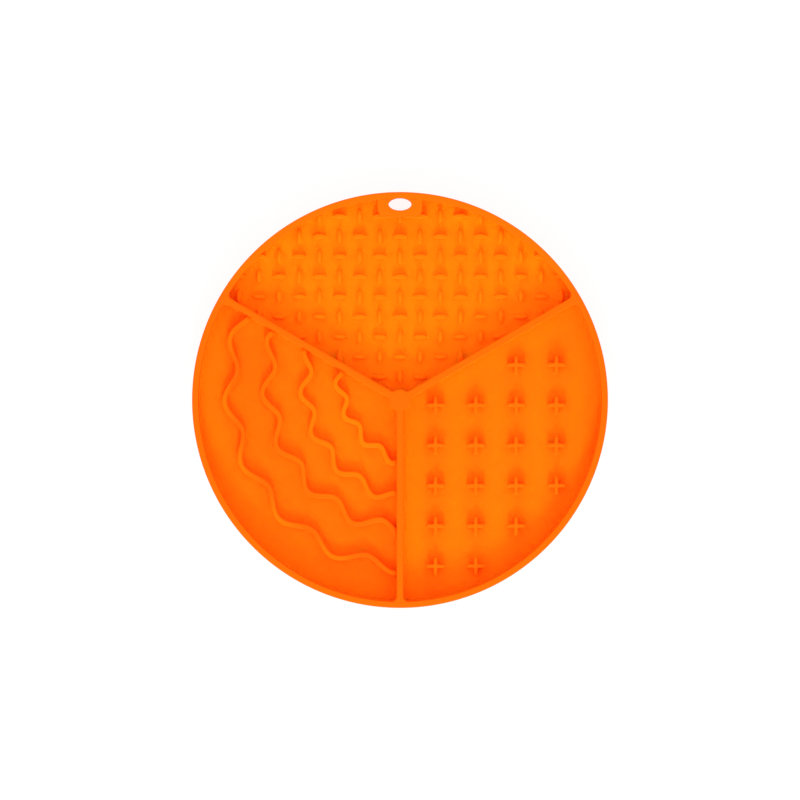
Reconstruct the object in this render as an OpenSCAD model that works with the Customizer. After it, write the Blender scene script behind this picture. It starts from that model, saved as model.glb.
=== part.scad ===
// Round silicone lick mat: a walled disc in three compartments, each with its own moulded texture,
// a hanging hole in the rim and suction cups underneath. Millimetres, +Z up, +Y towards the hanging hole,
// origin on the axis at the level of the cup lips.

/* [Mat] */
// Outer diameter of the mat
mat_d = 200; // [170:1:260]
// Thickness of the floor web
floor_t = 2; // [1.5:0.1:4]
// Height of the rim and the dividers above the floor
wall_h = 10; // [8:0.5:20]
// Width of the rim
rim_w = 3; // [2:0.1:5]
// Rounding of the rim's outer top edge
rim_edge_r = 0.4; // [0.2:0.1:1.5]

/* [Dividers] */
// Width of a divider
divider_w = 3; // [2:0.1:6]
// Fillet where a divider runs into the rim
divider_fillet = 2.5; // [1:0.1:6]
// Diameter of the round boss where the dividers meet
boss_d = 10; // [8:0.5:16]
// Fillet where a divider runs into the boss
boss_fillet = 1.5; // [0.5:0.1:3]

/* [Hanging hole] */
// Width of the oval hole, across the mat
hole_w = 11; // [6:0.1:16]
// Height of the oval hole, towards the rim
hole_h = 6.1; // [4:0.1:9]
// Distance from the mat's outer edge to the hole's centre
hole_inset = 5.8; // [5.5:0.1:8]
// Width of the land round the hole
tab_w = 21.4; // [18:0.1:40]
// Distance from the mat's outer edge to the land's inner edge
tab_depth = 11.8; // [11:0.1:18]
// Rounding of the land's two inner corners
tab_corner_r = 3.5; // [1:0.1:6]

/* [Weave fins] */
// Distance between neighbouring fins, both ways
weave_pitch = 9.71; // [8:0.01:14]
// Distance from the mat's centre to the first row of fins
weave_start = 11.1; // [10:0.1:20]
// Length of a fin
fin_l = 6.5; // [4:0.1:8]
// Thickness of a fin
fin_w = 2.1; // [1.2:0.1:3]
// Height of a fin at its middle
fin_h = 2.6; // [1.5:0.1:5]
// How much higher a fin is at its middle than at its two ends
fin_crown = 0.6; // [0.2:0.1:1.2]
// Least length of a fin that has to clear the walls for it to be moulded at all
fin_keep = 1.5; // [1.3:0.1:4]

/* [Cross studs] */
// Distance between neighbouring cross studs, both ways
cross_pitch = 19.42; // [14:0.01:30]
// Distance of the first column of studs from the mat's centre
cross_first_x = 17.1; // [10:0.1:25]
// Distance of the first row of studs from the mat's centre
cross_first_y = 17.1; // [10:0.1:25]
// Distance that a stud's centre keeps from every wall
cross_margin = 6; // [5:0.1:9]
// Length of a stud's arms from end to end
cross_span = 8.8; // [6:0.1:10]
// Thickness of a stud's arms
cross_arm = 1.6; // [1:0.1:3]
// Height of a stud at its middle
cross_h = 4.2; // [2.5:0.1:7]
// How much higher a stud is at its middle than at the ends of its arms
cross_crown = 0.4; // [0.2:0.1:1.5]

/* [Wave ridges] */
// Distance from the mat's centre to the centre that the waves bend round
wave_centre_off = 13.6; // [8:0.1:16]
// Direction of that centre, in degrees from +X
wave_centre_dir = 45; // [30:1:60]
// How much smaller the outermost wave's mean radius is than the inside of the rim
wave_inset = 4.75; // [4:0.05:12]
// Distance between the mean radii of neighbouring waves, from the innermost pair outwards
wave_gap = [17.7, 17, 19.2]; // [12:0.1:20]
// Swing of each wave to either side of its mean radius, from the innermost wave outwards
wave_swing = [2.15, 2.65, 3.15, 3.15]; // [0.5:0.05:3.4]
// Distance along its mean radius between two crests of each wave
wave_length = [15.15, 20.25, 25.45, 30.75]; // [12:0.05:40]
// Radius that each wave gains over a quarter turn
wave_drift = [0.9, 3.1, -0.2, 0.7]; // [-4:0.1:4]
// Radius that each wave loses a quarter turn away from its middle, either way
wave_bow = [-5.9, -1.4, 0.3, 5.8]; // [-8:0.1:8]
// Direction of one outward crest of each wave, in degrees from +X
wave_crest_dir = [205.2, 206.8, 204.9, 205.5]; // [180:0.1:240]
// Width of a ridge just under its top
wave_w = 2.2; // [1.2:0.1:3]
// Width of a ridge at the floor
wave_base_w = 2.4; // [1.2:0.1:4]
// Height of the ridges
wave_h = 3.2; // [2.5:0.1:7]
// Rounding of a ridge's two top edges
wave_edge_r = 0.3; // [0.1:0.1:0.5]

/* [Suction cups] */
// Diameter of a cup at its lip
cup_d = 18; // [12:0.5:24]
// Height of a cup, lip to mat
cup_h = 3.5; // [2.5:0.1:6]
// Diameter of the neck that joins a cup to the mat
cup_neck_d = 9; // [5:0.5:11]
// Height of the straight part of the neck
cup_neck_h = 0.8; // [0.3:0.1:1.2]
// Height of the lip's edge
cup_lip_h = 0.6; // [0.3:0.1:1]
// Width of the lip's flat ring
cup_lip_w = 0.6; // [0.3:0.1:1.5]
// Depth of the hollow in a cup
cup_hollow = 1.4; // [0.8:0.1:1.5]
// Radius of the two rings of cups
cup_ring_r = [36, 72]; // [25:1:85]
// Number of cups in the two rings
cup_ring_n = [6, 12]; // [3:1:14]

/* [Hidden] */
$fn = 96;
orange = [0.99, 0.45, 0.03];
deep_orange = [0.97, 0.38, 0.02];
// A cut reaches this far past the face that it goes through
past = 1;

mat_r = mat_d / 2;
inner_r = mat_r - rim_w;
boss_r = boss_d / 2;
under_z = cup_h;
floor_z = under_z + floor_t;
top_z = floor_z + wall_h;
hole_y = mat_r - hole_inset;

// Stretches that a fillet's arc is drawn in
fillet_steps = 10;
// Directions of the right, left and front dividers
divider_dirs = [30, 150, 270];
// Unit vectors square to a divider: into the compartment after it and into the one before it
function after_side(d) = [-sin(divider_dirs[d]), cos(divider_dirs[d])];
function before_side(d) = -after_side(d);
// Distance of a point from the face of a divider, on the side that the unit vector points to
function from_face(p, side) = p * side - divider_w / 2;

// Fillet arc of a divider at the boss: its centre lies one fillet radius from the divider and from the boss
boss_fillet_y = divider_w / 2 + boss_fillet;
boss_fillet_x = sqrt(pow(boss_r + boss_fillet, 2) - pow(boss_fillet_y, 2));
boss_fillet_start = atan2(boss_fillet_y, boss_fillet_x) - 180;
boss_fillet_points = [
    for (i = [0:fillet_steps])
        let (a = boss_fillet_start + (-90 - boss_fillet_start) * i / fillet_steps)
            [boss_fillet_x, boss_fillet_y] + boss_fillet * [cos(a), sin(a)]
];
// Fillet arc of a divider at the rim: its centre lies one fillet radius from the divider and from the rim
fillet_y = divider_w / 2 + divider_fillet;
fillet_x = sqrt(pow(inner_r - divider_fillet, 2) - pow(fillet_y, 2));
fillet_end = atan2(fillet_y, fillet_x);
fillet_points = [
    for (i = [0:fillet_steps])
        let (a = -90 + (90 + fillet_end) * i / fillet_steps)
            [fillet_x, fillet_y] + divider_fillet * [cos(a), sin(a)]
];
fillet_tail = (inner_r + past) * [cos(fillet_end), sin(fillet_end)];
divider_side = concat([[0, boss_fillet_points[0].y]], boss_fillet_points, fillet_points, [fillet_tail]);
divider_other_side = [for (i = [len(divider_side) - 1:-1:0]) [divider_side[i].x, -divider_side[i].y]];

// Radius of the arch over a fin or a stud's arm, from its length and how much higher its middle is
function arch_r(l, crown) = (pow(l / 2, 2) + pow(crown, 2)) / (2 * crown);

// Fins stand on a square grid and turn by a quarter from each one to the next
weave_rows = floor((inner_r - weave_start) / weave_pitch) + 1;
weave_cols = ceil(inner_r / weave_pitch);
function fin_spot(row, col) = [col, row] * weave_pitch + [0, weave_start];
function fin_upright(row, col) = abs(row + col) % 2 == 0;
// How far a fin reaches from its centre along a unit vector
function fin_reach(upright, n) =
    upright ? norm([n.x * fin_w, n.y * fin_l]) / 2 : norm([n.x * fin_l, n.y * fin_w]) / 2;
// Length of a fin that clears the walls, counted from the wall that cuts off most
function fin_clear(row, col) =
    let (
        p = fin_spot(row, col),
        up = fin_upright(row, col),
        out = p / norm(p),
        right = after_side(0),
        left = before_side(1)
    )
    min(
        inner_r - norm(p) + fin_reach(up, out),
        from_face(p, right) + fin_reach(up, right),
        from_face(p, left) + fin_reach(up, left)
    );

// Cross studs stand on a square grid, wherever their centre keeps its margin from the walls
function cross_gap(p) =
    min(inner_r - norm(p), norm(p) - boss_r, from_face(p, after_side(2)), from_face(p, before_side(0)));
cross_lines = ceil(2 * mat_r / cross_pitch);
cross_spots = [
    for (row = [0:cross_lines], col = [0:cross_lines])
        let (p = [cross_first_x + col * cross_pitch, cross_first_y - row * cross_pitch])
            if (cross_gap(p) > cross_margin) p
];

// A wave's plan: an arc about the common centre, whose radius drifts and bows with the angle
// and swings as a cosine
wave_centre = wave_centre_off * [cos(wave_centre_dir), sin(wave_centre_dir)];
wave_count = len(wave_swing);
wave_mid = (divider_dirs[1] + divider_dirs[2]) / 2;
quarter_turn = 90;
function wave_mean_r(k) = k == wave_count - 1 ? inner_r - wave_inset : wave_mean_r(k + 1) - wave_gap[k];
// Angle between two crests
function wave_step(k) = wave_length[k] / wave_mean_r(k) * 180 / PI;
function wave_radius(k, a) =
    let (turn = (a - wave_mid) / quarter_turn)
    wave_mean_r(k)
    + wave_drift[k] * turn
    - wave_bow[k] * turn * turn
    + wave_swing[k] * cos(360 * (a - wave_crest_dir[k]) / wave_step(k));
function wave_point(k, a) = wave_centre + wave_radius(k, a) * [cos(a), sin(a)];
wave_probe = 0.05;
function wave_heading(k, a) =
    let (d = wave_point(k, a + wave_probe) - wave_point(k, a - wave_probe)) d / norm(d);
// Angle at which a wave meets a divider's face, found by halving the stretch between inside and outside
function wave_end(k, side, inside, outside, halvings = 40) =
    let (mid = (inside + outside) / 2)
    halvings == 0 ? mid
    : from_face(wave_point(k, mid), side) > 0 ? wave_end(k, side, mid, outside, halvings - 1)
    : wave_end(k, side, inside, mid, halvings - 1);
// Section of a ridge: drafted sides under a flat top with rounded edges, as pairs of offset and height
wave_edge_steps = 3;
wave_edge = [
    for (i = [0:wave_edge_steps])
        let (a = 90 * i / wave_edge_steps)
            [wave_w / 2 - wave_edge_r, wave_h - wave_edge_r] + wave_edge_r * [cos(a), sin(a)]
];
wave_side = concat([[wave_base_w / 2, 0]], wave_edge);
wave_other_side = [for (i = [len(wave_side) - 1:-1:0]) [-wave_side[i].x, wave_side[i].y]];
wave_section = concat(wave_side, wave_other_side);
wave_rings_per_step = 16;
// One ring of a ridge; an end ring slides along the ridge until it lies in the divider's face
function wave_ring(k, a, side) =
    let (p = wave_point(k, a), along = wave_heading(k, a), across = [along.y, -along.x])
    [
        for (s = wave_section)
            let (
                q = p + s[0] * across,
                slide = is_undef(side) ? 0 : -from_face(q, side) / (along * side),
                e = q + slide * along
            )
            [e.x, e.y, floor_z + s[1]]
    ];

cup_spots = concat(
    [[0, 0]],
    [
        for (ring = [0:len(cup_ring_r) - 1], i = [0:cup_ring_n[ring] - 1])
            let (a = 360 * (i + 0.5) / cup_ring_n[ring]) cup_ring_r[ring] * [cos(a), sin(a)]
    ]
);
cup_hollow_mouth_r = cup_d / 2 - cup_lip_w;
cup_hollow_r = (pow(cup_hollow_mouth_r, 2) + pow(cup_hollow, 2)) / (2 * cup_hollow);

module ellipse(w, h) {
    scale([w / 2, h / 2]) circle(r = 1);
}

module hole_outline() {
    translate([0, hole_y]) ellipse(hole_w, hole_h);
}

// The land's sides and rounded inner corners; outwards it runs on past the inside of the rim
module tab_outline() {
    inner_y = mat_r - tab_depth;
    straight = tab_w - 2 * tab_corner_r;
    translate([-tab_w / 2, inner_y + tab_corner_r]) square([tab_w, tab_depth]);
    translate([-straight / 2, inner_y]) square([straight, tab_depth]);
    for (s = [-1, 1]) translate([s * straight / 2, inner_y + tab_corner_r]) circle(r = tab_corner_r);
}

// A divider seen from above: a bar along its direction that spreads into the rim
module divider_outline(d) {
    rotate(divider_dirs[d]) polygon(concat(divider_side, divider_other_side));
}

// The floor of the compartment between the right and the left divider, inside all its walls
module weave_compartment() {
    difference() {
        circle(r = inner_r);
        rotate(divider_dirs[0] - 180) translate([-mat_d, 0]) square([2 * mat_d, mat_d]);
        rotate(divider_dirs[1]) translate([-mat_d, 0]) square([2 * mat_d, mat_d]);
        divider_outline(0);
        divider_outline(1);
        circle(r = boss_r);
        tab_outline();
    }
}

module mat_floor() {
    color(orange)
    translate([0, 0, under_z])
    linear_extrude(floor_t)
    difference() {
        circle(r = inner_r);
        tab_outline();
    }
}

module outer_rim() {
    color(orange)
    difference() {
        rotate_extrude() {
            translate([inner_r, under_z]) square([rim_w, top_z - under_z - rim_edge_r]);
            translate([inner_r, under_z]) square([rim_w - rim_edge_r, top_z - under_z]);
            translate([mat_r - rim_edge_r, top_z - rim_edge_r]) circle(r = rim_edge_r);
        }
        translate([0, 0, under_z - past]) linear_extrude(top_z - under_z + 2 * past) hole_outline();
    }
}

module divider(d) {
    color(orange)
    translate([0, 0, floor_z])
    linear_extrude(wall_h)
    difference() {
        intersection() {
            circle(r = inner_r);
            divider_outline(d);
        }
        circle(r = boss_r);
    }
}

module centre_boss() {
    color(orange) translate([0, 0, floor_z]) cylinder(r = boss_r, h = wall_h);
}

module hanging_tab() {
    color(orange)
    translate([0, 0, under_z])
    linear_extrude(top_z - under_z)
    difference() {
        intersection() {
            circle(r = inner_r);
            tab_outline();
        }
        hole_outline();
    }
}

module wave_ridge(k) {
    start_side = after_side(1);
    end_side = before_side(2);
    start = wave_end(k, start_side, wave_mid, wave_mid - quarter_turn);
    end = wave_end(k, end_side, wave_mid, wave_mid + quarter_turn);
    spans = ceil((end - start) / wave_step(k) * wave_rings_per_step);
    sides = len(wave_section);
    points = [
        for (i = [0:spans])
            each wave_ring(
                k,
                start + (end - start) * i / spans,
                i == 0 ? start_side : i == spans ? end_side : undef
            )
    ];
    skin = [
        for (i = [0:spans - 1], s = [0:sides - 1])
            let (
                a = i * sides + s,
                b = i * sides + (s + 1) % sides,
                c = a + sides,
                d = b + sides
            )
            each [[a, b, d], [a, d, c]]
    ];
    caps = [
        for (s = [1:sides - 2])
            each [[0, s + 1, s], [spans * sides, spans * sides + s, spans * sides + s + 1]]
    ];
    color(deep_orange) polyhedron(points, concat(skin, caps));
}

// An upright blade along X with an arched top, standing on z = 0; its child is its plan
module arched_blade(l, h, crown) {
    r = arch_r(l, crown);
    intersection() {
        linear_extrude(h) children();
        translate([0, 0, h - r]) rotate([90, 0, 0]) cylinder(r = r, h = l, center = true);
    }
}

module cross_arm_plan() {
    straight = cross_span - cross_arm;
    square([straight, cross_arm], center = true);
    for (s = [-1, 1]) translate([s * straight / 2, 0]) circle(d = cross_arm);
}

module cross_stud(k) {
    color(deep_orange)
    translate([cross_spots[k].x, cross_spots[k].y, floor_z])
    for (turn = [0, 90])
        rotate(turn) arched_blade(cross_span, cross_h, cross_crown) cross_arm_plan();
}

module weave_fin(row, col) {
    p = fin_spot(row, col);
    translate([p.x, p.y, floor_z])
    rotate(fin_upright(row, col) ? 90 : 0)
    arched_blade(fin_l, fin_h, fin_crown) ellipse(fin_l, fin_w);
}

// One row of fins; those that run into a wall end at it
module weave_row(row) {
    color(deep_orange)
    for (col = [-weave_cols:weave_cols])
        if (fin_clear(row, col) > fin_keep)
            intersection() {
                weave_fin(row, col);
                translate([0, 0, floor_z - past]) linear_extrude(fin_h + 2 * past) weave_compartment();
            }
}

module suction_cup(k) {
    color(orange)
    translate(cup_spots[k])
    rotate_extrude()
    difference() {
        polygon([
            [0, 0],
            [cup_d / 2, 0],
            [cup_d / 2, cup_lip_h],
            [cup_neck_d / 2, cup_h - cup_neck_h],
            [cup_neck_d / 2, cup_h],
            [0, cup_h]
        ]);
        translate([0, cup_hollow - cup_hollow_r]) circle(r = cup_hollow_r);
    }
}

mat_floor();
outer_rim();
divider(0);  // divider_right
divider(1);  // divider_left
divider(2);  // divider_front
centre_boss();
hanging_tab();
for (k = [0:wave_count - 1])
    wave_ridge(k);
for (k = [0:len(cross_spots) - 1])
    cross_stud(k);
for (k = [0:weave_rows - 1])
    weave_row(k);
for (k = [0:len(cup_spots) - 1])
    suction_cup(k);
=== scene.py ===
"""Looks of a round silicone lick mat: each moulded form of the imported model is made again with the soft
feet and rounded crests that moulding leaves, in matt orange silicone, on a white floor, seen from
straight above."""

import math

import bpy
import numpy as np
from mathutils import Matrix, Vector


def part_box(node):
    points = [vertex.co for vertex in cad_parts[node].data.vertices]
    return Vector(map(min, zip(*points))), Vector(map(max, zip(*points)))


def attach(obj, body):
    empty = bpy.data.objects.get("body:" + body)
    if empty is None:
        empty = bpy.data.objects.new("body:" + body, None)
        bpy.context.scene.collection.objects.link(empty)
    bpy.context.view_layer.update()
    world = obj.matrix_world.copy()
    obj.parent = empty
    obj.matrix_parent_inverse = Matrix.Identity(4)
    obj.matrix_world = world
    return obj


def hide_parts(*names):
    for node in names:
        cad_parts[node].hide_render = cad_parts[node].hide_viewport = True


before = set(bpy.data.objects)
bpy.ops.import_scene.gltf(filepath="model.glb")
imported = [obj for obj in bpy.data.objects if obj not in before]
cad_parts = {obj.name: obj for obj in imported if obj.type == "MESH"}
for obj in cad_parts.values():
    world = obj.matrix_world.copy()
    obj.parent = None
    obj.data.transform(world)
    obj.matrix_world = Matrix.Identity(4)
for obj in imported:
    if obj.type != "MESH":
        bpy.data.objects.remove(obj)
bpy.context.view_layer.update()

# Shapes are worked out in millimetres; metres go into the meshes
MM = 0.001
TURN = 2 * np.pi
QUARTER = TURN / 4


def corners(node):
    """Lowest and highest corner of a CAD node, in millimetres."""
    low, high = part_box(node)
    return np.array(low) / MM, np.array(high) / MM


def middle(node):
    """Middle of a CAD node's box seen from above, in millimetres."""
    low, high = corners(node)
    return (low + high)[:2] / 2


def nodes_named(start):
    """Names of the CAD nodes of one family, in the order of their numbers."""
    found = [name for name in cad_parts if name.startswith(start)]
    return sorted(found, key=lambda name: int(name.rsplit("_", 1)[1]))


# Sizes that the frame gives
(_, _, under_z), (inner_r, _, floor_z) = corners("mat_floor")
mat_r, _, top_z = corners("outer_rim")[1]
boss_r = corners("centre_boss")[1][0]
wall_h = top_z - floor_z
fin_h = corners("weave_row_1")[1][2] - floor_z
cross_h = corners("cross_stud_1")[1][2] - floor_z
cross_span = np.ptp(corners("cross_stud_1"), axis=0)[0]
wave_h = corners("wave_ridge_1")[1][2] - floor_z
cup_r = np.ptp(corners("suction_cup_1"), axis=0)[0] / 2
land_y = corners("hanging_tab")[0][1]
land_half = corners("hanging_tab")[1][0]

# Dividers: width, fillets where they run into the rim and into the boss, and directions in degrees
DIVIDER_W = 3.0
DIVIDER_FILLET = 2.5
BOSS_FILLET = 1.5
DIVIDER_DIRS = {"divider_right": 30, "divider_left": 150, "divider_front": 270}

# Hanging hole, the corners of the land round it, and how far the floor's edge keeps from it
HOLE_SIZE = np.array([11.0, 6.1])
HOLE_INSET = 5.8
LAND_CORNER = 3.5
HOLE_CLEAR = 0.5
hole_centre = np.array([0.0, mat_r - HOLE_INSET])

# Weave fins, and how much of one has to clear the walls
WEAVE_PITCH = 9.71
WEAVE_START = 11.1
FIN_L = 6.5
FIN_W = 2.1
FIN_CROWN = 0.6
FIN_KEEP = 1.5

# Cross studs
CROSS_PITCH = 19.42
CROSS_ARM = 1.6
CROSS_CROWN = 0.4
CROSS_CORNER = 0.6

# Wave ridges, from the innermost outwards, with directions in degrees. Their arcs share a centre. The
# outermost keeps an inset from the rim, and each other one a gap from the next
WAVE_CENTRE_OFF = 13.6
WAVE_CENTRE_DIR = 45
WAVE_INSET = 4.75
WAVE_GAP = [17.7, 17.0, 19.2]
WAVE_SWING = [2.15, 2.65, 3.15, 3.15]
WAVE_LENGTH = [15.15, 20.25, 25.45, 30.75]
WAVE_DRIFT = [0.9, 3.1, -0.2, 0.7]
WAVE_BOW = [-5.9, -1.4, 0.3, 5.8]
WAVE_CREST_DIR = [205.2, 206.8, 204.9, 205.5]
WAVE_W = 2.2
WAVE_BASE_W = 2.4
WAVE_CREST = 0.3

# Suction cups, and the bend from a cup's cone into its neck: offsets outwards and upwards, and relief
CUP_NECK_D = 9.0
CUP_NECK_H = 0.8
CUP_LIP_W = 0.6
CUP_HOLLOW = 1.4
CUP_BEND = np.array([[0.9, -0.42, 0], [0.25, 0, -0.5], [0, 0.25, -1]])

# Radii of the concave feet, of the convex crests and of the small edges
WALL_FOOT = 0.4
WALL_CREST = 0.25
RIM_CREST = 0.4
WAVE_FOOT = 0.3
STUD_FOOT = 0.35
STUD_CREST = 0.35
EDGE = 0.3

# How far forms reach into each other, and the hair's breadth that keeps two faces out of one plane
SUNK = 0.6
SKIRT = 0.4
SKIRT_DROP = 0.06
BURIED = 1.4
WALL_BITE = DIVIDER_W / 4
HAIR = 0.02

# How finely shapes are drawn: points round an outline or along a stretch of it
FLOOR_POINTS = 720
RIM_POINTS = 480
ROUND_POINTS = 64
FIN_POINTS = 32
STRAIGHT_POINTS = 24
FILLET_POINTS = 12
BOSS_FILLET_POINTS = 8
LAND_CORNER_POINTS = 9
LAND_SIDE_POINTS = 11
LAND_BACK_POINTS = 33
CROSS_CORNER_POINTS = 4
CROSS_FLANK_POINTS = 5
CROSS_END_POINTS = 9
HOLLOW_POINTS = 9
ARC_STEPS = 5
arc = np.linspace(0, QUARTER, ARC_STEPS + 1)

# Shares of the outline at which the floor and the tops of upright forms are drawn again, and share of
# its mouth at which a cup's hollow starts
FLOOR_SHARES = (0.02, 0.5, 0.985, 0.995)
TOP_SHARES = (0.7, 0.4, 0.1)
HOLLOW_START = 0.05

# Along a wave: how many angles are tried for its ends, the plain stretch at either end, the distance
# from section to section, and the angle that a heading is taken over
WAVE_TRIES = 4001
WAVE_END = 2.4
WAVE_STEP = 0.7
WAVE_PROBE = 1e-4


def unit(angle):
    """Unit vectors in the directions of angles in radians."""
    return np.stack([np.cos(angle), np.sin(angle)], -1)


def circle(count):
    """Unit vectors evenly round a circle."""
    return unit(np.linspace(0, TURN, count, endpoint=False))


def between(start, end, count):
    """Even values from start to end without these two, which are counted."""
    return np.linspace(start, end, count)[1:-1]


def joined(points, *values):
    """Points with the same further coordinates added to each."""
    return np.column_stack([points, np.full((len(points), len(values)), values)])


def placed(rings, spot):
    """Rings moved sideways to a spot."""
    return rings + [*spot, 0, 0]


def within(points, radius):
    """Points pulled back along their radius until they lie inside a circle about the mat's axis."""
    r = np.linalg.norm(points[..., :2], axis=-1, keepdims=True)
    points[..., :2] *= np.minimum(1, radius / r)
    return points


def into_compartment(divider, sense):
    """Unit vector square to a divider, into the compartment after it (sense 1) or before it (sense -1)."""
    c, s = unit(np.radians(DIVIDER_DIRS[divider]))
    return sense * np.array([-s, c])


def grid_faces(rows, cols, close_rows=False):
    """Quads between the neighbours in a grid of points that closes on itself along its columns."""
    r = np.arange(rows if close_rows else rows - 1)[:, None]
    c = np.arange(cols)[None, :]
    next_r = (r + 1) % rows
    next_c = (c + 1) % cols
    quads = [r * cols + c, r * cols + next_c, next_r * cols + next_c, next_r * cols + c]
    return np.stack(quads, -1).reshape(-1, 4)


def ring_stack(rings):
    """Closed skin over stacks of rings, stack x ring x point: quads between the rings, which run upwards
    and turn anticlockwise, and fans to the middle of the lowest and of the highest ring."""
    stacks, n, m, _ = rings.shape
    poles = rings[:, [0, -1]].mean(2)
    points = np.concatenate([rings.reshape(stacks, n * m, -1), poles], 1)
    here = np.arange(m)
    beyond = (here + 1) % m
    low_fan = np.stack([np.full(m, n * m), beyond, here], -1)
    high_fan = np.stack([np.full(m, n * m + 1), here, beyond], -1) + [0, (n - 1) * m, (n - 1) * m]
    first = np.arange(stacks)[:, None, None] * (n * m + 2)
    faces = [(first + f).reshape(-1, f.shape[1]) for f in (grid_faces(n, m), low_fan, high_fan)]
    return points.reshape(stacks * (n * m + 2), -1), faces


def ring_loop(rings):
    """Closed skin over rings whose last joins the first again, as on a hoop."""
    n, m, _ = rings.shape
    return rings.reshape(n * m, -1), [grid_faces(n, m, close_rows=True)]


def swept(sections):
    """Closed skin over sections along a path: quads between the sections, and one flat face at each end."""
    n, m, _ = sections.shape
    ends = np.array([np.arange(m)[::-1], (n - 1) * m + np.arange(m)])
    return sections.reshape(n * m, -1), [grid_faces(n, m), ends]


def make_piece(name, node, skin, finish):
    """A mesh object from a skin: its points are x, y, z in millimetres and the relief there, from -1 in the
    creases to 1 on the crests. It stands for its CAD node, rides on the only body and wears the finish."""
    points, faces = skin
    corner_points = np.concatenate([f.ravel() for f in faces])
    sides = np.concatenate([np.full(len(f), f.shape[1]) for f in faces])
    mesh = bpy.data.meshes.new(name)
    mesh.vertices.add(len(points))
    mesh.vertices.foreach_set("co", (points[:, :3] * MM).ravel())
    mesh.loops.add(len(corner_points))
    mesh.loops.foreach_set("vertex_index", corner_points)
    mesh.polygons.add(len(sides))
    mesh.polygons.foreach_set("loop_start", np.cumsum(sides) - sides)
    mesh.polygons.foreach_set("use_smooth", np.ones(len(sides), bool))
    mesh.update(calc_edges=True)
    relief = mesh.attributes.new("relief", "FLOAT", "POINT")
    relief.data.foreach_set("value", points[:, 3].astype(np.float32))
    mesh.materials.append(finishes[finish])
    piece = bpy.data.objects.new(name, mesh)
    bpy.context.scene.collection.objects.link(piece)
    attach(piece, "root")
    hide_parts(node)


def upright_side(foot, crest):
    """Side of an upright form, one row a ring: outward offset, rise, share of the form's height and relief.
    A root in the floor and a skirt just under it lead to a quarter arc that leaves the floor level, and a
    quarter arc over the top edge ends the side level again."""
    root = [[foot / 2, -SUNK, 0, -1], [foot + SKIRT, -SKIRT_DROP, 0, -1]]
    foot_arc = [foot * (1 - np.sin(arc)), foot * (1 - np.cos(arc)), 0 * arc, -np.cos(arc)]
    crest_arc = [crest * (np.cos(arc) - 1), crest * (np.sin(arc) - 1), 0 * arc + 1, np.sin(2 * arc)]
    return np.concatenate([root, np.stack(foot_arc, -1), np.stack(crest_arc, -1)])


def arched(length, height, crown):
    """Height over a plan: a circular arc over the distance from the middle, by a crown higher there."""
    radius = ((length / 2) ** 2 + crown**2) / (2 * crown)
    return lambda plan: height - radius + np.sqrt(radius**2 - (plan**2).sum(-1))


def button(outline, height, side):
    """Rings of an upright form on the floor: its plan grown by each offset of its side, then shrunk on
    its middle. outline(offset) is the plan and height(plan) the top over it."""
    plans = [outline(offset) for offset in side[:, 0]]
    plans += [plans[-1] * share for share in TOP_SHARES]
    rows = np.concatenate([side, [[0, 0, 1, 0]] * len(TOP_SHARES)])
    rings = [
        np.column_stack([plan, floor_z + rise + share * height(plan), np.full(len(plan), relief)])
        for plan, (_, rise, share, relief) in zip(plans, rows)
    ]
    return np.array(rings)


def ray_on_ellipse(direction, centre, size):
    """Nearest and farthest distance from the mat's axis where rays cross an ellipse, nan where they miss."""
    scaled = direction / (size / 2)
    scaled_centre = centre / (size / 2)
    a = (scaled**2).sum(-1)
    b = scaled @ scaled_centre
    inside = b**2 - a * (scaled_centre @ scaled_centre - 1)
    root = np.sqrt(np.where((inside > 0) & (b > 0), inside, np.nan))
    return (b - root) / a, (b + root) / a


def floor_skin():
    """Flat round plate, ring by ring outwards underneath, round its edge and inwards on top. Its edge
    lies in the rim, and steps back round the hanging hole to stay in the land there. The underside counts
    as a crease."""
    around = circle(FLOOR_POINTS)
    near, _ = ray_on_ellipse(around, hole_centre, HOLE_SIZE + 2 * (EDGE + HOLE_CLEAR))
    edge = np.fmin(near, inner_r + SUNK)[:, None] * around
    rings = [joined(edge * share, under_z, -1) for share in FLOOR_SHARES]
    rings += [joined(edge, under_z + EDGE, -1), joined(edge, floor_z - EDGE, 0)]
    rings += [joined(edge * share, floor_z, 0) for share in FLOOR_SHARES[::-1]]
    return ring_stack(np.array(rings)[None])


def rim_skin():
    """Hoop: up the outer side, over the rounded top, down the inner side onto its foot and back
    underneath. Where the hanging hole comes into the rim, the inner side stands back behind the hole's
    wall."""
    around = circle(RIM_POINTS)
    _, far = ray_on_ellipse(around, hole_centre, HOLE_SIZE + EDGE)
    inner = np.fmax(inner_r, np.nan_to_num(far))
    bottom = under_z - HAIR
    side = upright_side(WALL_FOOT, WALL_CREST)[1:][::-1]
    low_edge = [mat_r - EDGE + EDGE * np.sin(arc), bottom + EDGE - EDGE * np.cos(arc), np.sin(2 * arc)]
    top_edge = [
        mat_r - RIM_CREST + RIM_CREST * np.cos(arc),
        top_z - RIM_CREST + RIM_CREST * np.sin(arc),
        np.sin(2 * arc),
    ]
    outer_rows = np.concatenate([np.stack(low_edge, -1), np.stack(top_edge, -1)])
    inner_rows = np.concatenate([
        np.stack([-side[:, 0], floor_z + side[:, 1] + side[:, 2] * wall_h, side[:, 3]], -1),
        [[-WALL_FOOT / 2, floor_z - SUNK, -1], [EDGE, bottom, 0]],
    ])
    at_hole = np.isfinite(far)
    rings = [joined(r * around, z, relief) for r, z, relief in outer_rows]
    for offset, z, relief in inner_rows:
        r = inner + np.where(at_hole, max(offset, 0), offset)
        rings.append(joined(r[:, None] * around, z, relief))
    return ring_loop(np.array(rings))


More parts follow.
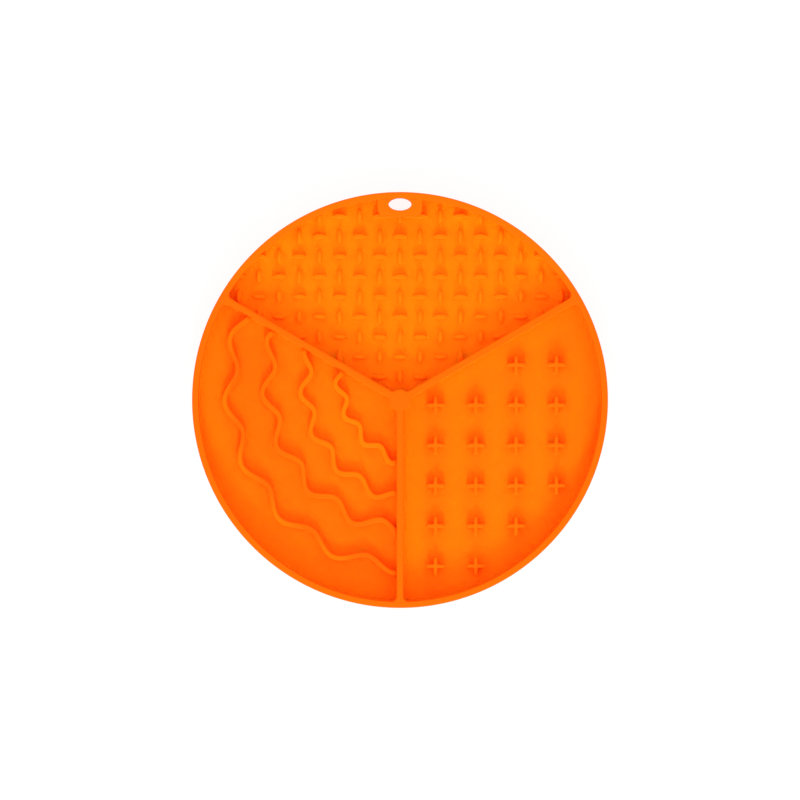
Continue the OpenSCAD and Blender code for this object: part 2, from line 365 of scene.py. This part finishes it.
def divider_skin(direction):
    """Bar from the boss to the rim: its section, foot, side, crest and the same mirrored, is carried
    along a flank that leaves the boss on a fillet arc, runs straight and turns outwards on a fillet arc
    into the rim."""
    half = DIVIDER_W / 2
    leave_y = half + BOSS_FILLET
    leave_x = math.sqrt((boss_r + BOSS_FILLET) ** 2 - leave_y**2)
    leaving = np.linspace(math.atan2(leave_y, leave_x) - np.pi, -QUARTER, BOSS_FILLET_POINTS)
    fillet_y = half + DIVIDER_FILLET
    fillet_x = math.sqrt((inner_r - DIVIDER_FILLET) ** 2 - fillet_y**2)
    turned = np.linspace(-QUARTER, math.atan2(fillet_y, fillet_x), FILLET_POINTS)
    root = [boss_r / 2, half]
    start = [leave_x, leave_y] + BOSS_FILLET * unit(leaving)
    straight = joined(between(leave_x, fillet_x, STRAIGHT_POINTS), half)
    bend = [fillet_x, fillet_y] + DIVIDER_FILLET * unit(turned)
    tail = [inner_r + BURIED, bend[-1, 1]]
    flank = np.concatenate([[root], start, straight, bend, [tail]])
    square = [[0.0, 1.0]]
    along_straight = np.repeat(square, len(straight), 0)
    outward = np.concatenate([square, -unit(leaving), along_straight, -unit(turned), square])

    side = upright_side(WALL_FOOT, WALL_CREST)
    height = floor_z + side[:, 1] + side[:, 2] * (wall_h - HAIR)
    left = flank[:, None] + side[None, :, :1] * outward[:, None]
    right = left[:, ::-1] * [1, -1]
    plan = np.concatenate([left, right], 1)
    one_side = np.column_stack([height, side[:, 3]])
    rise = np.concatenate([one_side, one_side[::-1]])
    sections = np.concatenate([plan, np.broadcast_to(rise, (*plan.shape[:2], 2))], -1)
    c, s = unit(np.radians(direction))
    sections[..., :2] = sections[..., :2] @ np.array([[c, s], [-s, c]])
    return swept(within(sections, inner_r + BURIED))


def boss_skin():
    """Round pillar where the dividers meet: a circle carried up a wall's side and in over its top."""
    around = circle(ROUND_POINTS)
    side = upright_side(WALL_FOOT, WALL_CREST)
    height = np.full(ROUND_POINTS, wall_h)
    return ring_stack(button(lambda offset: (boss_r + offset) * around, lambda plan: height, side)[None])


def land_outline(offset):
    """Plan of the land round the hanging hole, grown by an offset: along its inner edge, round a corner,
    out into the rim, back across inside the rim, and in again round the other corner."""
    straight = land_half - LAND_CORNER
    corner_y = land_y + LAND_CORNER
    buried_r = inner_r + BURIED
    reach = math.asin(land_half / buried_r)
    edge = joined(between(-straight, straight, STRAIGHT_POINTS), land_y - offset)
    corner_turn = np.linspace(-QUARTER, 0, LAND_CORNER_POINTS)
    corner = [straight, corner_y] + (LAND_CORNER + offset) * unit(corner_turn)
    across = buried_r * unit(QUARTER + np.linspace(-reach, reach, LAND_BACK_POINTS))
    side_y = between(corner_y, across[0, 1], LAND_SIDE_POINTS)
    side = joined(side_y, land_half + offset)[:, ::-1]
    mirrored = [part[::-1] * [-1, 1] for part in (side, corner)]
    return np.concatenate([edge, corner, side, across, *mirrored])


def tab_skin():
    """Hoop round the hanging hole: up the outer side from its foot, inwards over the top, down the hole's
    wall and back underneath. Each point of the land's outline goes with the point of the hole in the same
    direction."""
    land = land_outline(0)
    from_hole = land - hole_centre
    hole = hole_centre + unit(np.arctan2(from_hole[:, 1], from_hole[:, 0])) * HOLE_SIZE / 2
    outwards = (land - hole) / np.linalg.norm(land - hole, axis=1, keepdims=True)
    bottom = under_z - 2 * HAIR
    top = top_z - HAIR
    side = upright_side(WALL_FOOT, WALL_CREST)[1:]
    outer_rows = np.concatenate([
        [[-SUNK, bottom, 0]],
        np.stack([side[:, 0], floor_z + side[:, 1] + side[:, 2] * (top - floor_z), side[:, 3]], -1),
    ])
    crest = np.sin(2 * arc)
    hole_rows = np.concatenate([
        np.stack([WALL_CREST * (1 - np.sin(arc)), top + WALL_CREST * (np.cos(arc) - 1), crest], -1),
        np.stack([EDGE * (1 - np.cos(arc)), bottom + EDGE * (1 - np.sin(arc)), crest], -1),
    ])
    rings = [joined(land_outline(offset), z, relief) for offset, z, relief in outer_rows]
    rings += [joined(hole + offset * outwards, z, relief) for offset, z, relief in hole_rows]
    return ring_loop(within(np.array(rings), inner_r + BURIED))


def wave_skin(k):
    """Ridge whose section, a foot, a drafted side, a round crest and the same mirrored, is carried along
    an arc about the waves' centre. The arc's radius drifts and bows with the angle and swings as a
    cosine. The last section at either end is slid along the ridge into the divider that stops it."""
    mean_r = inner_r - WAVE_INSET - sum(WAVE_GAP[k:])
    middle_dir = np.radians((DIVIDER_DIRS["divider_left"] + DIVIDER_DIRS["divider_front"]) / 2)
    crest_dir = np.radians(WAVE_CREST_DIR[k])
    centre = WAVE_CENTRE_OFF * unit(np.radians(WAVE_CENTRE_DIR))
    stops = [into_compartment("divider_left", 1), into_compartment("divider_front", -1)]

    def path(angle):
        """Points of the ridge's middle line at angles about the waves' centre."""
        turned = (angle - middle_dir) / QUARTER
        bent = WAVE_DRIFT[k] * turned - WAVE_BOW[k] * turned**2
        swing = WAVE_SWING[k] * np.cos(TURN * (angle - crest_dir) * mean_r / WAVE_LENGTH[k])
        return centre + (mean_r + bent + swing)[:, None] * unit(angle)

    tried = middle_dir + np.linspace(-QUARTER, QUARTER, WAVE_TRIES)
    clear = np.min([path(tried) @ stop - DIVIDER_W / 2 for stop in stops], 0) > -WALL_BITE
    first, last = tried[clear][[0, -1]]
    plain = WAVE_END / mean_r
    count = int((last - first) * mean_r / WAVE_STEP)
    angle = np.concatenate([[first], np.linspace(first + plain, last - plain, count), [last]])
    along = path(angle + WAVE_PROBE) - path(angle - WAVE_PROBE)
    along /= np.linalg.norm(along, axis=1, keepdims=True)
    left = np.column_stack([-along[:, 1], along[:, 0]])

    side = upright_side(WAVE_FOOT, WAVE_CREST)
    offset = side[:, 0] + np.where(side[:, 2] > 0, WAVE_W / 2, WAVE_BASE_W / 2)
    offset = np.concatenate([offset, -offset[::-1]])
    one_side = np.column_stack([floor_z + side[:, 1] + side[:, 2] * wave_h, side[:, 3]])
    rise = np.concatenate([one_side, one_side[::-1]])
    plan = path(angle)[:, None] + offset[None, :, None] * left[:, None]
    for end, stop in zip((0, -1), stops):
        depth = plan[end] @ stop + WALL_BITE - DIVIDER_W / 2
        plan[end] -= (depth / (along[end] @ stop))[:, None] * along[end]
    return swept(np.concatenate([plan, np.broadcast_to(rise, (*plan.shape[:2], 2))], -1))


def cross_outline(offset):
    """Plan of a cross stud grown by an offset: four arms, each half a hollow corner, a straight flank, a
    round end, the other flank and the other half corner."""
    half = CROSS_ARM / 2
    corner = half + CROSS_CORNER
    end = cross_span / 2 - half
    turn_in = np.linspace(QUARTER * 3 / 2, QUARTER, CROSS_CORNER_POINTS)
    low_corner = [corner, -corner] + (CROSS_CORNER - offset) * unit(turn_in)
    low_flank = joined(between(corner, end, CROSS_FLANK_POINTS), -half - offset)
    round_end = [end, 0] + (half + offset) * unit(np.linspace(-QUARTER, QUARTER, CROSS_END_POINTS))
    lower = np.concatenate([low_corner, low_flank])
    arm = np.concatenate([lower, round_end, (lower * [1, -1])[:0:-1]])
    quarter_turns = [np.array([[c, s], [-s, c]]) for c, s in ((1, 0), (0, 1), (-1, 0), (0, -1))]
    return np.concatenate([arm @ turn for turn in quarter_turns])


def cross_rings():
    """Rings of one cross stud about its own middle."""
    side = upright_side(STUD_FOOT, STUD_CREST)
    return button(cross_outline, arched(cross_span, cross_h, CROSS_CROWN), side)


def fin_rings():
    """Rings of one weave fin along X about its own middle: an ellipse under an arched top."""
    around = circle(FIN_POINTS)
    half = np.array([FIN_L, FIN_W]) / 2
    side = upright_side(STUD_FOOT, STUD_CREST)
    return button(lambda offset: (half + offset) * around, arched(FIN_L, fin_h, FIN_CROWN), side)


weave_walls = [into_compartment("divider_right", 1), into_compartment("divider_left", -1)]


def fins_of(row):
    """Middles of a row's fins and which of them stand along Y. Fins turn by a quarter from each to the
    next, and one is left out where too little of it would clear the rim or a divider."""
    most = math.ceil(inner_r / WEAVE_PITCH)
    col = np.arange(-most, most + 1)
    spots = joined(col * WEAVE_PITCH, row * WEAVE_PITCH + WEAVE_START)
    upright = (row + col) % 2 == 0
    half = np.where(upright[:, None], [FIN_W, FIN_L], [FIN_L, FIN_W]) / 2
    r = np.linalg.norm(spots, axis=1)
    clear = [inner_r - r + np.linalg.norm(half * spots / r[:, None], axis=1)]
    for wall in weave_walls:
        clear.append(spots @ wall - DIVIDER_W / 2 + np.linalg.norm(half * wall, axis=1))
    kept = np.min(clear, 0) > FIN_KEEP
    return spots[kept], upright[kept]


def weave_row_skin(row):
    """One row of fins, each turned, set in its place and drawn back inside the walls that it runs into."""
    spots, upright = fins_of(row)
    lying = fin_rings()
    standing = lying[..., [1, 0, 2, 3]] * [-1, 1, 1, 1]
    rings = np.where(upright[:, None, None, None], standing, lying)
    rings[..., :2] += spots[:, None, None]
    for wall in weave_walls:
        too_deep = np.minimum(0, rings[..., :2] @ wall + WALL_BITE - DIVIDER_W / 2)
        rings[..., :2] -= too_deep[..., None] * wall
    x, y = rings[..., 0], rings[..., 1]
    rings[..., 1] = np.where(np.abs(x) < land_half, np.minimum(y, land_y + BURIED), y)
    return ring_stack(within(rings, inner_r + SUNK))


def cup_rings():
    """Rings of one suction cup about its own axis: the hollow's dome outwards, the lip, the cone and the
    neck, which spreads on a small foot and ends in the floor. The hollow counts more as a crease towards
    its middle, where painted shade deepens it, and the lip as a crest, which takes a painted highlight."""
    mouth_r = cup_r - CUP_LIP_W
    neck_r = CUP_NECK_D / 2
    dome_r = (mouth_r**2 + CUP_HOLLOW**2) / (2 * CUP_HOLLOW)
    hollow_x = np.linspace(HOLLOW_START, 1, HOLLOW_POINTS) * mouth_r
    hollow_z = CUP_HOLLOW - dome_r + np.sqrt(dome_r**2 - hollow_x**2)
    hollow = np.column_stack([hollow_x, hollow_z, hollow_x / mouth_r - 1])
    lip = [cup_r - EDGE + EDGE * np.sin(2 * arc), EDGE - EDGE * np.cos(2 * arc), np.sin(2 * arc)]
    bend = CUP_BEND + [neck_r, under_z - CUP_NECK_H, 0]
    foot = [EDGE * (1 - np.cos(arc)) + neck_r, under_z - EDGE + EDGE * np.sin(arc), -np.sin(arc)]
    root = [[neck_r + EDGE + SKIRT, under_z + SKIRT_DROP, -1], [neck_r, under_z + SUNK, -1]]
    rows = np.concatenate([hollow, np.stack(lip, -1), bend, np.stack(foot, -1), root])
    return np.array([joined(r * circle(ROUND_POINTS), z, relief) for r, z, relief in rows])


# Silicone: refraction, gloss, how far red, green and blue light wander against each other, how deep in
# millimetres, and the strength of bumps
SILICONE = {"IOR": 1.41, "Specular IOR Level": 0.03, "Subsurface Radius": (1.0, 0.1, 0.02)}
GLOW_DEPTH = 4.0
BUMP_STRENGTH = 0.5

# Grain: noise scales in cycles a metre, noise detail, and the unevenness in height and in roughness
GRAIN_DETAIL = 3
UNEVEN_SCALE = 90
UNEVEN_DETAIL = 2
UNEVEN_SHARE = 0.35
UNEVEN_ROUGHNESS = 0.05
PATCH_SCALE = 45
PATCH_DETAIL = 3

# Spans of noise and of relief over which roughness and tint change
UNEVEN_SPAN = (0.3, 0.7)
PATCH_SPAN = (0.35, 0.65)
CREASE_SPAN = (-1, -0.1)
CREST_SPAN = (0.3, 1)

# Spans in millimetres over which the painted light and shade change: the painted shade of the ridges
# outwards from the waves' centre, and the painted light beside a wall away from it
RIDGE_SHADE_FROM_TO = (45, 82)
RIDGE_SHADE_ENDS = (90, 97)
WALL_LIGHT_FROM_TO = (3, 13)
TONE_NAMES = ("Rear", "Rear Wall Light", "Right", "Right Stud Shadow", "Right Wall Light", "Left", "Left Ridge Shade", "Left Wall Light")
ORANGE = (1, 0.2, 0, 1)
UP = (0, 1)
DOWN = (1, 0)


def feed(tree, socket, value):
    """Link another socket into a socket, or set a plain value on it."""
    if isinstance(value, bpy.types.NodeSocket):
        tree.links.new(value, socket)
    else:
        socket.default_value = value


def new_group(name, inputs, outputs):
    """An empty shader node group: inputs are given by name, type and default, outputs by name and type."""
    group = bpy.data.node_groups.new(name, "ShaderNodeTree")
    for label, kind, default in inputs:
        group.interface.new_socket(label, in_out="INPUT", socket_type=kind).default_value = default
    for label, kind in outputs:
        group.interface.new_socket(label, in_out="OUTPUT", socket_type=kind)
    return group, group.nodes.new("NodeGroupInput"), group.nodes.new("NodeGroupOutput")


def noise(tree, scale, detail):
    """A noise texture on Object coordinates; scale is in cycles a metre."""
    place = tree.nodes.new("ShaderNodeTexCoord")
    made = tree.nodes.new("ShaderNodeTexNoise")
    feed(tree, made.inputs["Scale"], scale)
    feed(tree, made.inputs["Detail"], detail)
    tree.links.new(place.outputs["Object"], made.inputs["Vector"])
    return made.outputs["Fac"]


def remap(tree, value, span, onto):
    """A Map Range node, clamped: a span of a value laid onto another span."""
    made = tree.nodes.new("ShaderNodeMapRange")
    for label, number in zip(("Value", "From Min", "From Max", "To Min", "To Max"), (value, *span, *onto)):
        feed(tree, made.inputs[label], number)
    return made.outputs["Result"]


def mix_colour(tree, share, a, b):
    """A colour mix of two sockets by a share."""
    made = tree.nodes.new("ShaderNodeMix")
    made.data_type = "RGBA"
    for label, value in zip(("Factor", "A", "B"), (share, a, b)):
        feed(tree, made.inputs[label], value)
    return made.outputs["Result"]


def maths(tree, operation, *values):
    """A Math node on up to three values, each a socket or a number."""
    made = tree.nodes.new("ShaderNodeMath")
    made.operation = operation
    for socket, value in zip(made.inputs, values):
        feed(tree, socket, value)
    return made.outputs["Value"]


def distance(tree, x, y, centre):
    """Distance of x and y from a centre, as the root of the sum of squares."""
    squares = [maths(tree, "POWER", maths(tree, "SUBTRACT", v, c), 2.0) for v, c in zip((x, y), centre)]
    return maths(tree, "SQRT", maths(tree, "ADD", *squares))


def silicone_grain_group():
    """Height and roughness of cured silicone: a fine spark-eroded grain on a slow unevenness."""
    group, given, put = new_group(
        "silicone_grain",
        [("Grain Scale", "NodeSocketFloat", 0.0), ("Roughness", "NodeSocketFloat", 0.0)],
        [("Height", "NodeSocketFloat"), ("Roughness", "NodeSocketFloat")],
    )
    grain = noise(group, given.outputs["Grain Scale"], GRAIN_DETAIL)
    slow = noise(group, UNEVEN_SCALE, UNEVEN_DETAIL)
    uneven = remap(group, slow, UNEVEN_SPAN, (-UNEVEN_ROUGHNESS, UNEVEN_ROUGHNESS))
    height = maths(group, "MULTIPLY_ADD", slow, UNEVEN_SHARE, grain)
    roughness = maths(group, "ADD", given.outputs["Roughness"], uneven)
    group.links.new(height, put.inputs["Height"])
    group.links.new(roughness, put.inputs["Roughness"])
    return group


def moulded_tint_group():
    """Colour of pigmented silicone: the body colour drifts slowly into patches, and gives way to a crease
    colour where the relief is low and to a crest colour where it is high. The crease colour paints light
    onto the feet of walls and raised forms and shade into the cups' hollows, and the crest colour a
    painted highlight onto the cups' lips."""
    colours = [(name, "NodeSocketColor", ORANGE) for name in ("Body", "Patch", "Crease", "Crest")]
    group, given, put = new_group(
        "moulded_tint",
        [("Relief", "NodeSocketFloat", 0.0), *colours],
        [("Colour", "NodeSocketColor")],
    )
    relief = given.outputs["Relief"]
    patches = remap(group, noise(group, PATCH_SCALE, PATCH_DETAIL), PATCH_SPAN, UP)
    crease = remap(group, relief, CREASE_SPAN, DOWN)
    crest = remap(group, relief, CREST_SPAN, UP)
    colour = mix_colour(group, patches, given.outputs["Body"], given.outputs["Patch"])
    colour = mix_colour(group, crease, colour, given.outputs["Crease"])
    colour = mix_colour(group, crest, colour, given.outputs["Crest"])
    group.links.new(colour, put.inputs["Colour"])
    return group


def painted_light_tone_group():
    """Painted light and shade by compartment: the colour is paler or deeper from one compartment to the
    next to paint in how brightly each is lit: behind both rear dividers, over a blend in metres, and else
    to the right or to the left of the front divider. On the right it is deeper in soft bands along the
    columns of studs, a painted shadow of the studs, and on the left it deepens from the inner waves to the
    outermost, painted shade of the ridges. Each has an edge colour, painted light that lifts the shade
    beside the walls: in the rear beside the rim, on the right beside both dividers, and on the left beside
    the rim and the rear divider."""
    group, given, put = new_group(
        "painted_light_tone",
        [*((name, "NodeSocketColor", ORANGE) for name in TONE_NAMES), ("Blend", "NodeSocketFloat", MM)],
        [("Colour", "NodeSocketColor")],
    )
    tone = given.outputs
    place = group.nodes.new("ShaderNodeTexCoord")
    apart = group.nodes.new("ShaderNodeSeparateXYZ")
    group.links.new(place.outputs["Object"], apart.inputs["Vector"])
    x, y = apart.outputs["X"], apart.outputs["Y"]

    def changing(value, span, onto):
        """A share that changes over a span in millimetres."""
        return remap(group, value, [v * MM for v in span], onto)

    rear_dir = math.radians(DIVIDER_DIRS["divider_right"])
    on_right = maths(group, "GREATER_THAN", x, 0.0)
    rear_line = maths(group, "MULTIPLY", maths(group, "ABSOLUTE", x), math.tan(rear_dir))
    past_line = maths(group, "SUBTRACT", y, rear_line)
    past_rear = maths(group, "SUBTRACT", past_line, DIVIDER_W * MM)
    at_rear = remap(group, maths(group, "DIVIDE", past_rear, tone["Blend"]), UP, UP)
    from_rim = maths(group, "SUBTRACT", inner_r * MM, distance(group, x, y, (0.0, 0.0)))
    before_rear = maths(group, "MULTIPLY", past_line, -math.cos(rear_dir))

    # Painted light in the rear: paler beside the rim, lifting the shade there
    rim_painted_light = changing(from_rim, WALL_LIGHT_FROM_TO, DOWN)
    rear = mix_colour(group, rim_painted_light, tone["Rear"], tone["Rear Wall Light"])

    # Painted shadow of the studs on the right: deeper soft bands along their columns
    from_column = maths(group, "SUBTRACT", x, middle("cross_stud_1")[0] * MM)
    phase = maths(group, "MULTIPLY", from_column, TURN / (CROSS_PITCH * MM))
    stud_shadow_band = remap(group, maths(group, "COSINE", phase), (-1, 1), UP)
    # Painted light on the right: paler beside the dividers, lifting the shade there
    divider_painted_light = changing(maths(group, "MINIMUM", before_rear, x), WALL_LIGHT_FROM_TO, DOWN)
    right = mix_colour(group, stud_shadow_band, tone["Right"], tone["Right Stud Shadow"])
    right = mix_colour(group, divider_painted_light, right, tone["Right Wall Light"])

    # Painted shade of the ridges on the left: deeper from the inner waves outwards, ending near the rim
    from_centre = distance(group, x, y, WAVE_CENTRE_OFF * unit(np.radians(WAVE_CENTRE_DIR)) * MM)
    ridge_shade = changing(from_centre, RIDGE_SHADE_FROM_TO, UP)
    ridge_shade_end = changing(from_centre, RIDGE_SHADE_ENDS, DOWN)
    # Painted light on the left: paler beside the rim and the rear divider, lifting the shade there
    wall_painted_light = changing(maths(group, "MINIMUM", before_rear, from_rim), WALL_LIGHT_FROM_TO, DOWN)
    left = mix_colour(group, maths(group, "MULTIPLY", ridge_shade, ridge_shade_end), tone["Left"], tone["Left Ridge Shade"])
    left = mix_colour(group, wall_painted_light, left, tone["Left Wall Light"])

    # Painted light and shade by compartment: each compartment takes its own paler or deeper tones
    colour = mix_colour(group, on_right, left, right)
    colour = mix_colour(group, at_rear, colour, rear)
    group.links.new(colour, put.inputs["Colour"])
    return group


silicone_grain = silicone_grain_group()
moulded_tint = moulded_tint_group()
painted_light_tone = painted_light_tone_group()


def silicone(name, colours, roughness, grain_scale, bump, glow=0.0, blend=0.5):
    """A silicone finish: the shared tint and grain with this finish's own colours, each plain or by
    compartment with painted light and shade, its roughness, bump height and blend of tones in
    millimetres, and the share of light that wanders in it."""
    made = bpy.data.materials.new(name)
    made.use_nodes = True
    tree = made.node_tree
    shader = tree.nodes["Principled BSDF"]
    own_values = {"Subsurface Weight": glow, "Subsurface Scale": GLOW_DEPTH * MM}
    for label, value in {**SILICONE, **own_values}.items():
        shader.inputs[label].default_value = value

    def add_group(node_tree):
        """One of the shared groups, placed in this material."""
        node = tree.nodes.new("ShaderNodeGroup")
        node.node_tree = node_tree
        return node

    relief = tree.nodes.new("ShaderNodeAttribute")
    relief.attribute_name = "relief"
    tint = add_group(moulded_tint)
    tree.links.new(relief.outputs["Fac"], tint.inputs["Relief"])
    for label, colour in zip(("Body", "Patch", "Crease", "Crest"), colours):
        if isinstance(colour, dict):
            tone = add_group(painted_light_tone)
            tone.inputs["Blend"].default_value = blend * MM
            for part, shade in colour.items():
                tone.inputs[part].default_value = (*shade, 1)
            tree.links.new(tone.outputs["Colour"], tint.inputs[label])
        else:
            tint.inputs[label].default_value = (*colour, 1)
    tree.links.new(tint.outputs["Colour"], shader.inputs["Base Color"])

    grain = add_group(silicone_grain)
    grain.inputs["Grain Scale"].default_value = grain_scale
    grain.inputs["Roughness"].default_value = roughness
    tree.links.new(grain.outputs["Roughness"], shader.inputs["Roughness"])
    bumps = tree.nodes.new("ShaderNodeBump")
    bumps.inputs["Strength"].default_value = BUMP_STRENGTH
    bumps.inputs["Distance"].default_value = bump * MM
    tree.links.new(grain.outputs["Height"], bumps.inputs["Height"])
    tree.links.new(bumps.outputs["Normal"], shader.inputs["Normal"])
    return made


def orange(green, red=1.0, blue=0.001):
    """A linear orange by its share of green."""
    return (red, green, blue)


def tones(rear, right, left):
    """Orange of each part of the compartments, by its share of green: in the rear the middle and the edge,
    on the right the middle, the bands and the edge, and on the left the inner waves, the outermost and the
    edge. The differences are painted light and shade: each edge is painted light beside the walls, the
    bands are painted stud shadows and the outermost is painted shade of the ridges."""
    return {name: orange(green) for name, green in zip(TONE_NAMES, (*rear, *right, *left))}


# Linear colours of the floor, the feet of forms, the raised textures and the walls by compartment, and of
# the hidden side. Their differences from compartment to compartment, the bands and the edges are painted
# light and shade; the feet are near the floor's colour, far paler than the walls and raised forms, partly
# as painted light that lifts their shade; and the floors are paler than the wall tops partly as painted
# light for the light bouncing onto them.
FLOOR_TONES = tones((0.201, 0.246), (0.175, 0.161, 0.209), (0.167, 0.143, 0.19))
FOOT_TONES = tones((0.195, 0.22), (0.172, 0.165, 0.19), (0.17, 0.15, 0.185))
RAISED_TONES = tones((0.159, 0.187), (0.126, 0.126, 0.126), (0.158, 0.106, 0.158))
WALL_TONES = tones((0.133, 0.133), (0.114, 0.114, 0.114), (0.114, 0.114, 0.114))
UNDERSIDE = orange(0.16)
# Cups: the hollow colour is painted shade deepening to its middle, and the paler lip colour a painted
# highlight
CUP_BODY = orange(0.15, red=0.97, blue=0.003)
CUP_PATCH = orange(0.145, red=0.97, blue=0.003)
CUP_HOLLOW_SHADE = orange(0.12, red=0.93, blue=0.002)
CUP_LIP = orange(0.156, red=0.98, blue=0.003)

# Each finish has its body, patch, crease and crest colour; the floor's crease colour is its underside's
finishes = {
    "floor_silicone": silicone(
        "floor_silicone",
        [FLOOR_TONES, FLOOR_TONES, UNDERSIDE, FLOOR_TONES],
        roughness=0.55, grain_scale=2600, bump=0.008, glow=0.7,
    ),
    "wall_silicone": silicone(
        "wall_silicone",
        [WALL_TONES, WALL_TONES, FOOT_TONES, WALL_TONES],
        roughness=0.5, grain_scale=3000, bump=0.006, blend=15,
    ),
    "texture_silicone": silicone(
        "texture_silicone",
        [RAISED_TONES, RAISED_TONES, FOOT_TONES, RAISED_TONES],
        roughness=0.5, grain_scale=3000, bump=0.006,
    ),
    "cup_silicone": silicone(
        "cup_silicone",
        [CUP_BODY, CUP_PATCH, CUP_HOLLOW_SHADE, CUP_LIP],
        roughness=0.34, grain_scale=3400, bump=0.004,
    ),
}

make_piece("moulded_floor", "mat_floor", floor_skin(), "floor_silicone")
make_piece("moulded_rim", "outer_rim", rim_skin(), "wall_silicone")
for node, direction in DIVIDER_DIRS.items():
    make_piece("moulded_" + node, node, divider_skin(direction), "wall_silicone")
make_piece("moulded_boss", "centre_boss", boss_skin(), "wall_silicone")
make_piece("moulded_tab", "hanging_tab", tab_skin(), "wall_silicone")
for k, node in enumerate(nodes_named("wave_ridge_")):
    make_piece("moulded_" + node, node, wave_skin(k), "texture_silicone")
for node in nodes_named("cross_stud_"):
    stud = placed(cross_rings(), middle(node))
    make_piece("moulded_" + node, node, ring_stack(stud[None]), "texture_silicone")
for row, node in enumerate(nodes_named("weave_row_")):
    make_piece("moulded_" + node, node, weave_row_skin(row), "texture_silicone")
for node in nodes_named("suction_cup_"):
    cup = placed(cup_rings(), middle(node))
    make_piece("moulded_" + node, node, ring_stack(cup[None]), "cup_silicone")

# Camera: width of the picture at the rim's top in metres, focal length and sensor in millimetres
FRAME_W = 0.3846
LENS = 300
SENSOR = 36

# Light: levels of the dome, and the front light's power in watts, sizes in metres and elevation in degrees
DOME_FRONT = 1.47
DOME_REAR = 0.93
KEY_POWER = 12.8
KEY_SIZE = (0.3, 0.36)
KEY_DISTANCE = 1.4
KEY_ELEVATION = 28.5

# Studio floor: its side in metres, its own white, and the share of light on it that it gives back
FLOOR_SIDE = 4.0
FLOOR_GLOW = 0.9
FLOOR_SHADE = 0.1


def make_camera():
    """Long lens straight above the mat, with +Y up, at the distance that the picture's width asks for."""
    data = bpy.data.cameras.new("camera_above")
    data.lens = LENS
    data.sensor_width = SENSOR
    camera = bpy.data.objects.new("camera_above", data)
    camera.location = (0, 0, top_z * MM + FRAME_W * LENS / SENSOR)
    bpy.context.scene.collection.objects.link(camera)
    bpy.context.scene.camera = camera


def make_key_light():
    """Soft light low in front of the mat, whose long shadows run away from it along +Y."""
    data = bpy.data.lights.new("key_light", "AREA")
    data.shape = "RECTANGLE"
    data.size, data.size_y = KEY_SIZE
    data.energy = KEY_POWER
    light = bpy.data.objects.new("key_light", data)
    raised = math.radians(KEY_ELEVATION)
    light.location = (0, -KEY_DISTANCE * math.cos(raised), KEY_DISTANCE * math.sin(raised))
    light.rotation_euler = (QUARTER - raised, 0, 0)
    light.visible_camera = False
    bpy.context.scene.collection.objects.link(light)


def seen_directly(tree):
    """1 for rays from the camera, mirrored or passed through, and 0 for rays that light surfaces."""
    path = tree.nodes.new("ShaderNodeLightPath")
    seen = maths(tree, "MAXIMUM", path.outputs["Is Camera Ray"], path.outputs["Is Glossy Ray"])
    return maths(tree, "MAXIMUM", seen, path.outputs["Is Transmission Ray"])


def make_world():
    """Dome of light, stronger from the front than from the rear, that looks white where it is seen."""
    world = bpy.data.worlds.new("dome")
    world.use_nodes = True
    tree = world.node_tree
    towards = tree.nodes.new("ShaderNodeTexCoord")
    apart = tree.nodes.new("ShaderNodeSeparateXYZ")
    tree.links.new(towards.outputs["Generated"], apart.inputs["Vector"])
    light = remap(tree, apart.outputs["Y"], (-1, 1), (DOME_FRONT, DOME_REAR))
    level = remap(tree, seen_directly(tree), UP, (light, 1))
    tree.nodes["Background"].inputs["Color"].default_value = (1, 1, 1, 1)
    tree.links.new(level, tree.nodes["Background"].inputs["Strength"])
    bpy.context.scene.world = world


def make_floor():
    """White floor under the cups that takes the mat's shadow. It lets light and the camera through from
    below, so that the underside shows."""
    half = FLOOR_SIDE / 2
    mesh = bpy.data.meshes.new("studio_floor")
    corner_points = [(-half, -half, 0), (half, -half, 0), (half, half, 0), (-half, half, 0)]
    mesh.from_pydata(corner_points, [], [(0, 1, 2, 3)])
    paint = bpy.data.materials.new("studio_white")
    paint.use_nodes = True
    tree = paint.node_tree
    tree.nodes.clear()
    shade = tree.nodes.new("ShaderNodeBsdfDiffuse")
    shade.inputs["Color"].default_value = (FLOOR_SHADE, FLOOR_SHADE, FLOOR_SHADE, 1)
    glow = tree.nodes.new("ShaderNodeEmission")
    glow.inputs["Strength"].default_value = FLOOR_GLOW
    both = tree.nodes.new("ShaderNodeAddShader")
    tree.links.new(shade.outputs["BSDF"], both.inputs[0])
    tree.links.new(glow.outputs["Emission"], both.inputs[1])
    clear = tree.nodes.new("ShaderNodeBsdfTransparent")
    which_side = tree.nodes.new("ShaderNodeNewGeometry")
    chosen = tree.nodes.new("ShaderNodeMixShader")
    tree.links.new(which_side.outputs["Backfacing"], chosen.inputs["Fac"])
    tree.links.new(both.outputs["Shader"], chosen.inputs[1])
    tree.links.new(clear.outputs["BSDF"], chosen.inputs[2])
    out = tree.nodes.new("ShaderNodeOutputMaterial")
    tree.links.new(chosen.outputs["Shader"], out.inputs["Surface"])
    mesh.materials.append(paint)
    floor = bpy.data.objects.new("studio_floor", mesh)
    floor.visible_diffuse = False
    floor.visible_shadow = False
    bpy.context.scene.collection.objects.link(floor)


make_camera()
make_key_light()
make_world()
make_floor()
bpy.context.scene.view_settings.view_transform = "Standard"
